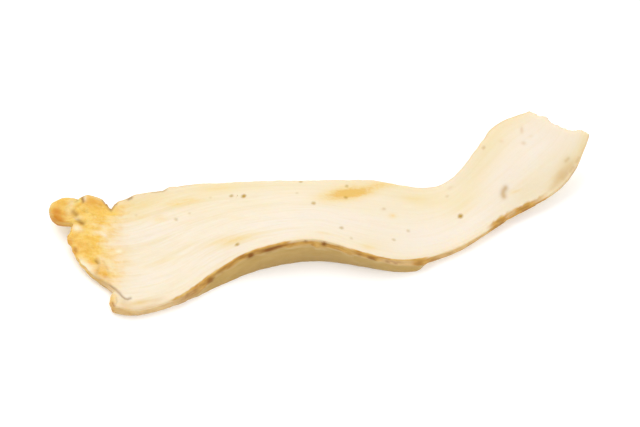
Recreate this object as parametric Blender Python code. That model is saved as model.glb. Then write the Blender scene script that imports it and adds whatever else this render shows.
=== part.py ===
"""A dried slice of a polygonatum rhizome, lying on a flat surface.

A thin curved strip of dried flesh with a skin rim. One end is torn and carries
a small knob, the other is cut across. In its middle the strip is a wedge, whose
thick side is the near edge, and it rises towards the cut end. Metres, +Z up,
origin under the middle of its box, on the surface that it lies on.
"""

import math

import bpy
import numpy as np

# ---- driving dimensions, in millimetres ------------------------------------
SCALE = 1.0  # the whole slice
THICKNESS = 1.6  # dried flesh in the middle of the strip
NEAR_SHARE, FAR_SHARE = 1.22, 0.80  # thicker at the near edge than at the far one
RIM_DROP = 0.30  # share of the thickness lost where the faces meet the rim
RIM_RADIUS = 0.8  # how far in from the edge that loss starts
RIM_BULGE = 0.2  # how far the skin stands out between the two faces
CRACK_FADE = 4.5  # how far an end's ragged line is felt along the strip
NOTCH_FADE = 0.3  # the same across the strip, as a share of its width
WEDGE_REACH, WEDGE_POWER = 0.95, 1.15  # how the wedge thins out across the strip
FOOT_REACH = 0.5  # how far across the foot's lean is felt
COLUMNS, ROWS, RIM_ROWS = 80, 14, 4

# The two long edges of the strip, at stations along it: the middle of the
# thickness at the near edge (x, y, z), then at the far edge (x, y, z), then how
# high the middle of the strip stands over the straight line between them, then
# how far the near edge droops, then the thickness there as a share.
STATIONS = (
    # near x, y, z         far x, y, z           crown  droop  thick
    (-31.2, -18.5, 1.00, -39.9, 0.3, 3.00, -0.50, 0.0, 1.08),
    (-28.5, -19.2, 0.90, -36.2, 1.3, 2.30, -0.55, 0.0, 1.06),
    (-24.5, -18.4, 0.85, -32.0, 1.1, 1.65, -0.45, 0.0, 1.04),
    (-20.3, -16.4, 0.95, -27.3, 2.5, 0.95, -0.30, 0.0, 1.02),
    (-15.8, -13.1, 1.80, -21.0, 4.5, 0.55, -0.20, 0.0, 1.02),
    (-10.5, -10.6, 3.60, -14.4, 4.8, 0.85, -0.15, 0.0, 1.06),
    (-5.6, -9.7, 4.70, -8.1, 4.5, 1.70, -0.15, 0.0, 1.12),
    (-0.7, -9.1, 4.90, -2.1, 4.3, 2.10, -0.10, 0.0, 1.14),
    (4.2, -10.2, 4.30, 3.5, 4.5, 2.00, -0.10, 0.0, 1.12),
    (9.1, -11.1, 3.10, 8.8, 4.7, 1.50, -0.10, 0.0, 1.08),
    (13.7, -10.7, 1.80, 13.7, 4.3, 0.65, -0.10, 0.0, 1.04),
    (17.9, -9.1, 0.95, 17.5, 4.2, 0.55, -0.10, 0.0, 1.00),
    (22.1, -7.0, 0.80, 20.3, 5.2, 1.10, -0.05, 0.0, 0.98),
    (26.2, -4.0, 0.90, 22.2, 6.6, 2.30, 0.10, 0.0, 0.98),
    (30.2, -1.0, 1.40, 23.8, 8.4, 3.40, 0.30, 0.2, 0.96),
    (34.3, 1.3, 2.30, 25.6, 10.7, 4.60, 0.45, 0.7, 0.92),
    (37.5, 3.6, 3.40, 27.9, 12.8, 5.60, 0.50, 1.0, 0.88),
    (39.9, 6.5, 4.80, 30.5, 13.6, 6.50, 0.45, 0.7, 0.84),
    (41.6, 10.2, 6.80, 32.5, 14.0, 7.20, 0.35, 0.3, 0.80),
)

# How far the torn end reaches past the first station, across the strip from
# the near edge (0) to the far edge (1): a rounded lip, a crack, a belly, a
# recess and the knob.
TORN_END = (
    (0.00, 0.00),
    (0.04, 0.20),
    (0.07, -0.20),
    (0.095, -1.00),
    (0.12, -1.90),
    (0.155, -1.00),
    (0.21, 0.05),
    (0.285, 1.05),
    (0.34, 1.45),
    (0.40, 1.85),
    (0.49, 1.80),
    (0.575, 1.85),
    (0.64, 1.55),
    (0.66, 1.20),
    (0.69, 0.30),
    (0.715, -0.10),
    (0.75, 0.50),
    (0.80, 1.20),
    (0.83, 2.00),
    (0.88, 2.10),
    (0.925, 1.60),
    (0.97, 0.65),
    (1.00, 0.00),
)
# The same past the last station, for the cut end.
CUT_END = (
    (0.00, 0.00),
    (0.10, 0.05),
    (0.18, -0.05),
    (0.25, -0.50),
    (0.33, -0.75),
    (0.45, -0.85),
    (0.60, -0.75),
    (0.68, -0.30),
    (0.735, -0.05),
    (0.80, -0.35),
    (0.85, -0.45),
    (0.93, -0.15),
    (1.00, 0.00),
)
# Notches in the far edge: x where it is deepest, depth, half width.
NOTCHES = (
    (-36.5, 0.6, 0.4),
    (-32.3, 1.2, 0.8),
    (-32.0, 0.5, 2.4),
)
# How far the underside hangs below the thin strip at the near edge, and how far
# the foot of that side stands out past the edge: x there, depth, foot. The
# wedge ends in a blunt step on the right.
WEDGE = (
    (-22.0, 0.0, 0.0),
    (-20.0, 0.5, 0.15),
    (-18.0, 1.2, 0.5),
    (-14.5, 2.4, 0.8),
    (-11.4, 3.8, 0.6),
    (-8.7, 4.6, 0.2),
    (-5.6, 5.2, -0.15),
    (-0.7, 5.4, -0.2),
    (2.4, 5.0, -0.6),
    (5.1, 4.6, -0.9),
    (7.9, 3.9, -0.8),
    (10.6, 3.0, -0.4),
    (13.4, 2.2, 0.3),
    (14.4, 2.0, 0.50),
    (15.1, 1.6, 0.65),
    (15.6, 1.0, 0.55),
    (16.1, 0.4, 0.25),
    (16.8, 0.0, 0.0),
)
KNOB_AT, KNOB_REACH, KNOB_SWELL = 0.87, 0.13, 0.30  # across, across, share
# The torn end thins out: share of the thickness lost, how far along, and
# between which places across.
TORN_THIN, TORN_THIN_REACH, TORN_THIN_FROM, TORN_THIN_TO = 0.45, 3.0, 0.16, 0.72


def spline(knots, values, at):
    """Natural cubic curve through values at knots, going on straight past the
    ends."""
    n = len(knots)
    gap = np.diff(knots)[:, None]
    rise = np.diff(values, axis=0) / gap
    system = np.eye(n)
    right = np.zeros_like(values)
    for i in range(1, n - 1):
        system[i, i - 1] = gap[i - 1, 0]
        system[i, i] = 2 * (gap[i - 1, 0] + gap[i, 0])
        system[i, i + 1] = gap[i, 0]
        right[i] = 6 * (rise[i] - rise[i - 1])
    bend = np.linalg.solve(system, right)
    inside = np.clip(at, knots[0], knots[-1])
    k = np.clip(np.searchsorted(knots, inside) - 1, 0, n - 2)
    h = gap[k]
    a = (knots[k + 1] - inside)[:, None] / h
    b = 1 - a
    curve = (
        a * values[k]
        + b * values[k + 1]
        + ((a**3 - a) * bend[k] + (b**3 - b) * bend[k + 1]) * h**2 / 6
    )
    slope = (
        rise[k]
        + (-(3 * a**2 - 1) * bend[k] + (3 * b**2 - 1) * bend[k + 1]) * h / 6
    )
    return curve + slope * (at - inside)[:, None]


def stations():
    """The station values, and the length along the middle of the strip."""
    table = np.array(STATIONS, dtype=float)
    middle = (table[:, 0:3] + table[:, 3:6]) / 2
    step = np.linalg.norm(np.diff(middle, axis=0), axis=1)
    return np.concatenate([[0.0], np.cumsum(step)]), table


def outline(across, table):
    """A ragged end's reach at each place across the strip."""
    places, reach = np.array(table, dtype=float).T
    return np.interp(across, places, reach)


def sheet(along, across):
    """The middle of the thickness, the thickness, the width and the underside's
    own shift by the wedge at each place: along in millimetres from the first
    station, across from 0 to 1."""
    knots, table = stations()
    read = spline(knots, table, along.ravel())
    near, far = read[:, 0:3], read[:, 3:6]
    t = across.ravel()[:, None]
    point = near + (far - near) * t
    width = np.linalg.norm(far - near, axis=1)
    crown, droop, share = read[:, 6], read[:, 7], read[:, 8]
    t = t[:, 0]
    point[:, 2] += crown * 4 * t * (1 - t)
    point[:, 2] -= droop * np.exp(-((t * width / 2.2) ** 2))
    knob = np.exp(-(((t - KNOB_AT) / KNOB_REACH) ** 2))
    knob *= np.exp(-((np.clip(along.ravel() + 2.0, 0, None) / 2.6) ** 2))
    side = NEAR_SHARE + (FAR_SHARE - NEAR_SHARE) * t
    thick = THICKNESS * share * side * (1 + KNOB_SWELL * knob)
    belly = np.clip((t - TORN_THIN_FROM) / 0.12, 0, 1)
    belly *= np.clip((TORN_THIN_TO - t) / 0.12, 0, 1)
    start = np.clip(along.ravel() + 1.8, 0, None) / TORN_THIN_REACH
    thick *= 1 - TORN_THIN * belly * np.exp(-(start**2))
    at, depth, foot = np.array(WEDGE, dtype=float).T
    depth = np.interp(near[:, 0], at, depth)
    foot = np.interp(near[:, 0], at, foot)
    out = (near - far)[:, 0:2] / np.linalg.norm((near - far)[:, 0:2], axis=1)[:, None]
    shift = np.zeros_like(point)
    shift[:, 0:2] = out * (foot * np.clip(1 - t / FOOT_REACH, 0, 1) ** 2)[:, None]
    shift[:, 2] = -depth * np.clip(1 - t / WEDGE_REACH, 0, 1) ** WEDGE_POWER
    shape, solid = along.shape, along.shape + (3,)
    thick, width = thick.reshape(shape), width.reshape(shape)
    return point.reshape(solid), thick, width, shift.reshape(solid)


def places(columns, rows):
    """Where the grid's lines cross: along and across, closer together near the
    edges, and following the ragged ends and the notches."""
    knots, table = stations()
    length = knots[-1]
    i = np.linspace(0, 1, columns + 1)[:, None]
    j = np.linspace(0, 1, rows + 1)[None, :]
    i = i - 0.06 * np.sin(2 * np.pi * i)
    across = j - 0.07 * np.sin(2 * np.pi * j)
    along = i * length + 0 * across
    torn = outline(across, TORN_END) * np.exp(-((along / CRACK_FADE) ** 2))
    cut = outline(across, CUT_END)
    cut = cut * np.exp(-(((length - along) / CRACK_FADE) ** 2))
    along = along - torn + cut
    edge = spline(knots, table, along[:, -1])
    x, width = edge[:, 3], np.linalg.norm(edge[:, 3:6] - edge[:, 0:3], axis=1)
    notch = np.zeros_like(x)
    for at, depth, half in NOTCHES:
        notch += depth * np.clip(1 - np.abs(x - at) / half, 0, 1)
    fade = np.clip((across - 1 + NOTCH_FADE) / NOTCH_FADE, 0, 1) ** 2
    across = across - (notch / width)[:, None] * fade
    return along, across


def make_slice(columns, rows, rim_rows):
    """The vertices and faces of the whole closed slice, in millimetres."""
    along, across = places(columns, rows)
    middle, thick, width, shift = sheet(along, across)
    by_i = np.gradient(middle, axis=0)
    by_j = np.gradient(middle, axis=1)
    up = np.cross(by_i, by_j)
    up /= np.linalg.norm(up, axis=2, keepdims=True)

    # the faces fall away towards the rim
    step = np.linalg.norm(np.diff(middle, axis=1), axis=2)
    near = np.concatenate([np.zeros((columns + 1, 1)), np.cumsum(step, 1)], 1)
    in_j = np.minimum(near, near[:, -1:] - near)
    step = np.linalg.norm(np.diff(middle, axis=0), axis=2)
    left = np.concatenate([np.zeros((1, rows + 1)), np.cumsum(step, 0)], 0)
    in_i = np.minimum(left, left[-1:] - left)
    inside = np.clip(np.minimum(in_i, in_j) / RIM_RADIUS, 0, 1)
    half = thick / 2 * (1 - RIM_DROP * (1 - inside) ** 2)

    top = middle + up * half[:, :, None]
    bottom = middle - up * half[:, :, None] + shift
    bottom[:, :, 2] = np.maximum(bottom[:, :, 2], 0.0)  # it lies on the surface

    # round the strip: near edge, cut end, far edge, torn end
    c, r = columns, rows
    loop = [(i, 0) for i in range(c)]
    loop += [(c, j) for j in range(r)]
    loop += [(i, r) for i in range(c, 0, -1)]
    loop += [(0, j) for j in range(r, 0, -1)]
    inner = [(min(max(i, 1), c - 1), min(max(j, 1), r - 1)) for i, j in loop]

    points = list(top.reshape(-1, 3)) + list(bottom.reshape(-1, 3))
    low = (c + 1) * (r + 1)

    def number(i, j):
        return i * (r + 1) + j

    faces = []
    for i in range(c):
        for j in range(r):
            a, b = number(i, j), number(i + 1, j)
            d, e = number(i + 1, j + 1), number(i, j + 1)
            faces.append((a, b, d, e))
            faces.append((low + e, low + d, low + b, low + a))
    rings = [[number(i, j) for i, j in loop]]
    for k in range(1, rim_rows):
        q = k / rim_rows
        ring = []
        for (i, j), (m, n) in zip(loop, inner):
            out = middle[i, j] - middle[m, n]
            out /= np.linalg.norm(out)
            p = top[i, j] * (1 - q) + bottom[i, j] * q
            p = p + out * RIM_BULGE * math.sin(math.pi * q)
            p[2] = max(p[2], 0.02)
            ring.append(len(points))
            points.append(p)
        rings.append(ring)
    rings.append([low + number(i, j) for i, j in loop])
    for high, under in zip(rings, rings[1:]):
        for k in range(len(loop)):
            m = (k + 1) % len(loop)
            faces.append((high[k], under[k], under[m], high[m]))
    return np.array(points) * SCALE, faces


def centre(points):
    """The place on the surface under the middle of the box."""
    low, high = points.min(axis=0), points.max(axis=0)
    return np.array([(low[0] + high[0]) / 2, (low[1] + high[1]) / 2, low[2]])


def flesh_material():
    """Dried cream flesh, slightly waxy."""
    material = bpy.data.materials.new("dried_flesh")
    material.use_nodes = True
    shader = material.node_tree.nodes["Principled BSDF"]
    shader.inputs["Base Color"].default_value = (0.86, 0.70, 0.46, 1.0)
    shader.inputs["Roughness"].default_value = 0.55
    shader.inputs["Metallic"].default_value = 0.0
    material.diffuse_color = (0.86, 0.70, 0.46, 1.0)
    return material


def main():
    for old in list(bpy.data.objects):
        bpy.data.objects.remove(old, do_unlink=True)

    points, faces = make_slice(COLUMNS, ROWS, RIM_ROWS)
    points = (points - centre(points)) * 0.001
    mesh = bpy.data.meshes.new("rhizome_slice")
    mesh.from_pydata([tuple(p) for p in points], [], faces)
    mesh.validate()
    mesh.materials.append(flesh_material())
    mesh.shade_smooth()
    mesh.set_sharp_from_angle(angle=math.radians(50))
    part = bpy.data.objects.new("rhizome_slice", mesh)
    bpy.context.scene.collection.objects.link(part)


main()
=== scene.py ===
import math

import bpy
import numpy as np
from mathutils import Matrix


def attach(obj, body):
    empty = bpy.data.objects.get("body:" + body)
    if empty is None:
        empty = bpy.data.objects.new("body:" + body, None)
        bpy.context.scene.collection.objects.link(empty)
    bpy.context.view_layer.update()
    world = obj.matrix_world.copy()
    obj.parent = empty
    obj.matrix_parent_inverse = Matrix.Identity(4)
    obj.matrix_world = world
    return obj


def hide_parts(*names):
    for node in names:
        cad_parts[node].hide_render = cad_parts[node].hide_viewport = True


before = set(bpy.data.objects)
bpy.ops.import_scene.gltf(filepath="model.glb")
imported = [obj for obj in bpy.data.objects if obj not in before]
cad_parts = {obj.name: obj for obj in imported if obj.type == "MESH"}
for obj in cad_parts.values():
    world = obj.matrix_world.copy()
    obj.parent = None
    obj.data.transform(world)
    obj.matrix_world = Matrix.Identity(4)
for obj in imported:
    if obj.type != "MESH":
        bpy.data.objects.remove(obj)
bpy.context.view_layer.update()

# The looks of a dried slice of polygonatum rhizome. The first half repeats the
# solid's own shape, the second half makes the fine surface over it, its
# material, the pale floor, the light and the camera.

# ---- the solid's shape, in millimetres --------------------------------------
THICKNESS = 1.6  # dried flesh in the middle of the strip
NEAR_SHARE, FAR_SHARE = 1.22, 0.80  # thicker at the near edge than at the far one
RIM_DROP = 0.30  # share of the thickness lost where the faces meet the rim
RIM_RADIUS = 0.8  # how far in from the edge that loss starts
RIM_BULGE = 0.2  # how far the skin stands out between the two faces
CRACK_FADE = 4.5  # how far an end's ragged line is felt along the strip
NOTCH_FADE = 0.3  # the same across the strip, as a share of its width
WEDGE_REACH, WEDGE_POWER = 0.95, 1.15  # how the wedge thins out across the strip
FOOT_REACH = 0.5  # how far across the foot's lean is felt

STATIONS = (
    # near x, y, z         far x, y, z           crown  droop  thick
    (-31.2, -18.5, 1.00, -39.9, 0.3, 3.00, -0.50, 0.0, 1.08),
    (-28.5, -19.2, 0.90, -36.2, 1.3, 2.30, -0.55, 0.0, 1.06),
    (-24.5, -18.4, 0.85, -32.0, 1.1, 1.65, -0.45, 0.0, 1.04),
    (-20.3, -16.4, 0.95, -27.3, 2.5, 0.95, -0.30, 0.0, 1.02),
    (-15.8, -13.1, 1.80, -21.0, 4.5, 0.55, -0.20, 0.0, 1.02),
    (-10.5, -10.6, 3.60, -14.4, 4.8, 0.85, -0.15, 0.0, 1.06),
    (-5.6, -9.7, 4.70, -8.1, 4.5, 1.70, -0.15, 0.0, 1.12),
    (-0.7, -9.1, 4.90, -2.1, 4.3, 2.10, -0.10, 0.0, 1.14),
    (4.2, -10.2, 4.30, 3.5, 4.5, 2.00, -0.10, 0.0, 1.12),
    (9.1, -11.1, 3.10, 8.8, 4.7, 1.50, -0.10, 0.0, 1.08),
    (13.7, -10.7, 1.80, 13.7, 4.3, 0.65, -0.10, 0.0, 1.04),
    (17.9, -9.1, 0.95, 17.5, 4.2, 0.55, -0.10, 0.0, 1.00),
    (22.1, -7.0, 0.80, 20.3, 5.2, 1.10, -0.05, 0.0, 0.98),
    (26.2, -4.0, 0.90, 22.2, 6.6, 2.30, 0.10, 0.0, 0.98),
    (30.2, -1.0, 1.40, 23.8, 8.4, 3.40, 0.30, 0.2, 0.96),
    (34.3, 1.3, 2.30, 25.6, 10.7, 4.60, 0.45, 0.7, 0.92),
    (37.5, 3.6, 3.40, 27.9, 12.8, 5.60, 0.50, 1.0, 0.88),
    (39.9, 6.5, 4.80, 30.5, 13.6, 6.50, 0.45, 0.7, 0.84),
    (41.6, 10.2, 6.80, 32.5, 14.0, 7.20, 0.35, 0.3, 0.80),
)
TORN_END = (
    (0.00, 0.00),
    (0.04, 0.20),
    (0.07, -0.20),
    (0.095, -1.00),
    (0.12, -1.90),
    (0.155, -1.00),
    (0.21, 0.05),
    (0.285, 1.05),
    (0.34, 1.45),
    (0.40, 1.85),
    (0.49, 1.80),
    (0.575, 1.85),
    (0.64, 1.55),
    (0.66, 1.20),
    (0.69, 0.30),
    (0.715, -0.10),
    (0.75, 0.50),
    (0.80, 1.20),
    (0.83, 2.00),
    (0.88, 2.10),
    (0.925, 1.60),
    (0.97, 0.65),
    (1.00, 0.00),
)
CUT_END = (
    (0.00, 0.00),
    (0.10, 0.05),
    (0.18, -0.05),
    (0.25, -0.50),
    (0.33, -0.75),
    (0.45, -0.85),
    (0.60, -0.75),
    (0.68, -0.30),
    (0.735, -0.05),
    (0.80, -0.35),
    (0.85, -0.45),
    (0.93, -0.15),
    (1.00, 0.00),
)
NOTCHES = (
    (-36.5, 0.6, 0.4),
    (-32.3, 1.2, 0.8),
    (-32.0, 0.5, 2.4),
)
WEDGE = (
    (-22.0, 0.0, 0.0),
    (-20.0, 0.5, 0.15),
    (-18.0, 1.2, 0.5),
    (-14.5, 2.4, 0.8),
    (-11.4, 3.8, 0.6),
    (-8.7, 4.6, 0.2),
    (-5.6, 5.2, -0.15),
    (-0.7, 5.4, -0.2),
    (2.4, 5.0, -0.6),
    (5.1, 4.6, -0.9),
    (7.9, 3.9, -0.8),
    (10.6, 3.0, -0.4),
    (13.4, 2.2, 0.3),
    (14.4, 2.0, 0.50),
    (15.1, 1.6, 0.65),
    (15.6, 1.0, 0.55),
    (16.1, 0.4, 0.25),
    (16.8, 0.0, 0.0),
)
KNOB_AT, KNOB_REACH, KNOB_SWELL = 0.87, 0.13, 0.30
TORN_THIN, TORN_THIN_REACH, TORN_THIN_FROM, TORN_THIN_TO = 0.45, 3.0, 0.16, 0.72


def spline(knots, values, at):
    """Natural cubic curve through values at knots, straight past the ends."""
    n = len(knots)
    gap = np.diff(knots)[:, None]
    rise = np.diff(values, axis=0) / gap
    system = np.eye(n)
    right = np.zeros_like(values)
    for i in range(1, n - 1):
        system[i, i - 1] = gap[i - 1, 0]
        system[i, i] = 2 * (gap[i - 1, 0] + gap[i, 0])
        system[i, i + 1] = gap[i, 0]
        right[i] = 6 * (rise[i] - rise[i - 1])
    bend = np.linalg.solve(system, right)
    inside = np.clip(at, knots[0], knots[-1])
    k = np.clip(np.searchsorted(knots, inside) - 1, 0, n - 2)
    h = gap[k]
    a = (knots[k + 1] - inside)[:, None] / h
    b = 1 - a
    curve = (
        a * values[k]
        + b * values[k + 1]
        + ((a**3 - a) * bend[k] + (b**3 - b) * bend[k + 1]) * h**2 / 6
    )
    slope = (
        rise[k]
        + (-(3 * a**2 - 1) * bend[k] + (3 * b**2 - 1) * bend[k + 1]) * h / 6
    )
    return curve + slope * (at - inside)[:, None]


def stations():
    table = np.array(STATIONS, dtype=float)
    middle = (table[:, 0:3] + table[:, 3:6]) / 2
    step = np.linalg.norm(np.diff(middle, axis=0), axis=1)
    return np.concatenate([[0.0], np.cumsum(step)]), table


def outline(across, table):
    places, reach = np.array(table, dtype=float).T
    return np.interp(across, places, reach)


def sheet(along, across):
    """The middle of the thickness, the thickness, the width and the underside's
    own shift by the wedge at each place."""
    knots, table = stations()
    read = spline(knots, table, along.ravel())
    near, far = read[:, 0:3], read[:, 3:6]
    t = across.ravel()[:, None]
    point = near + (far - near) * t
    width = np.linalg.norm(far - near, axis=1)
    crown, droop, share = read[:, 6], read[:, 7], read[:, 8]
    t = t[:, 0]
    point[:, 2] += crown * 4 * t * (1 - t)
    point[:, 2] -= droop * np.exp(-((t * width / 2.2) ** 2))
    knob = np.exp(-(((t - KNOB_AT) / KNOB_REACH) ** 2))
    knob *= np.exp(-((np.clip(along.ravel() + 2.0, 0, None) / 2.6) ** 2))
    side = NEAR_SHARE + (FAR_SHARE - NEAR_SHARE) * t
    thick = THICKNESS * share * side * (1 + KNOB_SWELL * knob)
    belly = np.clip((t - TORN_THIN_FROM) / 0.12, 0, 1)
    belly *= np.clip((TORN_THIN_TO - t) / 0.12, 0, 1)
    start = np.clip(along.ravel() + 1.8, 0, None) / TORN_THIN_REACH
    thick *= 1 - TORN_THIN * belly * np.exp(-(start**2))
    at, depth, foot = np.array(WEDGE, dtype=float).T
    depth = np.interp(near[:, 0], at, depth)
    foot = np.interp(near[:, 0], at, foot)
    out = (near - far)[:, 0:2] / np.linalg.norm((near - far)[:, 0:2], axis=1)[:, None]
    shift = np.zeros_like(point)
    shift[:, 0:2] = out * (foot * np.clip(1 - t / FOOT_REACH, 0, 1) ** 2)[:, None]
    shift[:, 2] = -depth * np.clip(1 - t / WEDGE_REACH, 0, 1) ** WEDGE_POWER
    shape, solid = along.shape, along.shape + (3,)
    thick, width = thick.reshape(shape), width.reshape(shape)
    return point.reshape(solid), thick, width, shift.reshape(solid)


def upward(middle):
    up = np.cross(np.gradient(middle, axis=0), np.gradient(middle, axis=1))
    return up / np.linalg.norm(up, axis=2, keepdims=True)


def from_edges(middle):
    """How far each place is from the nearest long edge and the nearest end."""
    c, r = middle.shape[0] - 1, middle.shape[1] - 1
    step = np.linalg.norm(np.diff(middle, axis=1), axis=2)
    near = np.concatenate([np.zeros((c + 1, 1)), np.cumsum(step, 1)], 1)
    step = np.linalg.norm(np.diff(middle, axis=0), axis=2)
    left = np.concatenate([np.zeros((1, r + 1)), np.cumsum(step, 0)], 0)
    return near, near[:, -1:] - near, left, left[-1:] - left


def solid_middle():
    """Where the solid's own mesh has the middle of its box, in the stations'
    axes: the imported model's origin is there."""
    c, r = 80, 14
    knots, table = stations()
    length = knots[-1]
    i = np.linspace(0, 1, c + 1)[:, None]
    j = np.linspace(0, 1, r + 1)[None, :]
    i = i - 0.06 * np.sin(2 * np.pi * i)
    across = j - 0.07 * np.sin(2 * np.pi * j)
    along = i * length + 0 * across
    torn = outline(across, TORN_END) * np.exp(-((along / CRACK_FADE) ** 2))
    cut = outline(across, CUT_END)
    cut = cut * np.exp(-(((length - along) / CRACK_FADE) ** 2))
    along = along - torn + cut
    edge = spline(knots, table, along[:, -1])
    x, width = edge[:, 3], np.linalg.norm(edge[:, 3:6] - edge[:, 0:3], axis=1)
    notch = np.zeros_like(x)
    for at, depth, half in NOTCHES:
        notch += depth * np.clip(1 - np.abs(x - at) / half, 0, 1)
    fade = np.clip((across - 1 + NOTCH_FADE) / NOTCH_FADE, 0, 1) ** 2
    across = across - (notch / width)[:, None] * fade
    middle, thick, width, shift = sheet(along, across)
    up = upward(middle)
    near, far, left, right = from_edges(middle)
    inside = np.clip(
        np.minimum(np.minimum(near, far), np.minimum(left, right)) / RIM_RADIUS, 0, 1
    )
    half = thick / 2 * (1 - RIM_DROP * (1 - inside) ** 2)
    top = middle + up * half[:, :, None]
    bottom = middle - up * half[:, :, None] + shift
    bottom[:, :, 2] = np.maximum(bottom[:, :, 2], 0.0)
    ring = []
    loop = [(k, 0) for k in range(c)] + [(c, k) for k in range(r)]
    loop += [(k, r) for k in range(c, 0, -1)] + [(0, k) for k in range(r, 0, -1)]
    for i, j in loop:
        m, n = min(max(i, 1), c - 1), min(max(j, 1), r - 1)
        out = middle[i, j] - middle[m, n]
        out = out / np.linalg.norm(out)
        for q in (0.25, 0.5, 0.75):
            p = top[i, j] * (1 - q) + bottom[i, j] * q
            ring.append(p + out * RIM_BULGE * math.sin(math.pi * q))
    points = np.concatenate([top.reshape(-1, 3), bottom.reshape(-1, 3), ring])
    low, high = points.min(axis=0), points.max(axis=0)
    return np.array([(low[0] + high[0]) / 2, (low[1] + high[1]) / 2, 0.0])


# ---- the fine surface -------------------------------------------------------
COLUMNS, ROWS, RIM_ROWS = 420, 96, 14
SPREAD = 14.0  # the strip's usual width: places across are counted in parts of it

# Marks are placed as they are seen from the front, 55 degrees above the floor:
# (across, down) on a net whose step is 0.35 mm and whose (250, 315) is over the
# stations' origin.
NET, NET_U, NET_V = 0.35, 250.0, 315.0
LOOK = math.radians(55)


def seen(points):
    """Places on that net of points in the stations' axes."""
    u = NET_U + points[..., 0] / NET
    rise = points[..., 1] * math.sin(LOOK) + points[..., 2] * math.cos(LOOK)
    return u, NET_V - rise / NET


# The torn end's outline from the near lip to the knob, then the far edge with
# its notches up to where it runs smooth.
TORN_LINE = (
    (163.2, 358.0), (162.2, 356.9), (161.0, 355.2), (160.3, 353.2),
    (160.4, 351.2), (160.8, 349.6), (161.9, 348.3), (160.5, 347.0),
    (158.9, 345.8), (155.4, 344.0), (153.7, 342.8), (152.2, 342.0),
    (149.8, 339.7), (149.0, 338.4), (147.1, 337.1), (146.2, 335.4),
    (145.0, 334.1), (143.7, 331.2), (143.1, 329.9), (142.6, 328.3),
    (141.4, 326.8), (140.9, 325.2), (141.7, 323.6), (142.6, 321.4),
    (143.0, 319.5), (141.2, 318.6), (139.0, 318.7), (136.7, 318.2),
    (134.8, 316.9), (133.6, 315.2), (132.9, 313.0), (133.4, 310.4),
    (134.8, 308.6),
)
FAR_LINE = (
    (137.2, 308.0), (140.3, 307.9), (143.3, 308.2), (145.4, 309.0),
    (146.1, 309.0), (146.9, 307.0), (148.6, 306.8), (150.4, 307.1),
    (153.6, 308.0), (155.6, 308.7), (156.8, 309.6), (157.3, 311.3),
    (158.3, 312.3), (159.3, 312.8), (160.0, 311.9), (160.7, 310.6),
    (162.0, 309.7), (163.8, 309.0), (166.8, 308.0),
    (169.9, 306.7), (172.9, 305.9), (177.0, 305.2), (181.6, 304.8),
    (184.2, 303.4), (187.4, 302.6),
)

# Colour marks on the cut face: place across, place down, half sizes, turn in
# degrees, strength.
GOLD = (
    (136.8, 313.5, 6.5, 7.0, 0, 1.05), (143.0, 313.0, 5.0, 5.5, 0, 0.58),
    (150.5, 311.5, 7.0, 5.0, 10, 1.00), (157.5, 314.5, 4.5, 3.5, 30, 0.70),
    (148.0, 320.0, 6.5, 5.0, 0, 0.75), (146.5, 328.5, 7.5, 6.5, 20, 1.00),
    (152.0, 327.5, 4.5, 2.6, -10, 0.42), (150.5, 333.5, 4.6, 4.2, 30, 0.58),
    (155.8, 339.4, 4.2, 4.4, 45, 0.74), (161.0, 342.0, 4.0, 4.5, 45, 0.46),
    (160.8, 352.0, 2.2, 4.5, -10, 0.55), (164.5, 357.8, 6.0, 2.2, 0, 0.75),
    (172.0, 358.5, 8.0, 1.4, -5, 0.50), (163.0, 313.5, 6.0, 3.5, -20, 0.46),
    (158.8, 319.0, 5.2, 5.0, 0, 0.62), (180.0, 316.0, 3.0, 1.0, -10, 0.30), (160.5, 333.0, 5.0, 1.4, -14, 0.35),
    (163.5, 337.0, 6.0, 3.4, -15, 0.26),
)
# Deep orange on the torn end; the first three patches, on the knob's lower left side, are painted shade where that
# side turns from the light.
DEEP_ORANGE_AND_SHADE = (
    (135.6, 314.8, 2.6, 2.0, 40, 0.95), (137.0, 318.4, 3.0, 1.6, 10, 1.00),
    (134.6, 316.9, 1.6, 1.8, 0, 0.75), (136.6, 311.0, 2.6, 2.0, 0, 0.30), (141.6, 327.0, 1.6, 1.8, 0, 0.75),
    (148.8, 310.2, 3.5, 2.2, 30, 0.40), (153.0, 310.8, 3.4, 1.8, 25, 0.50),
    (147.5, 329.5, 4.0, 3.0, 0, 0.28), (143.8, 331.4, 1.2, 1.4, 0, 0.80),
    (156.2, 338.6, 2.2, 1.4, 40, 0.28), (153.6, 340.6, 2.0, 1.4, 40, 0.45), (165.0, 359.2, 5.0, 0.9, 0, 0.60),
    (160.3, 355.0, 1.3, 1.6, 0, 0.80), (157.2, 342.6, 2.6, 1.2, 30, 0.45),
)
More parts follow.
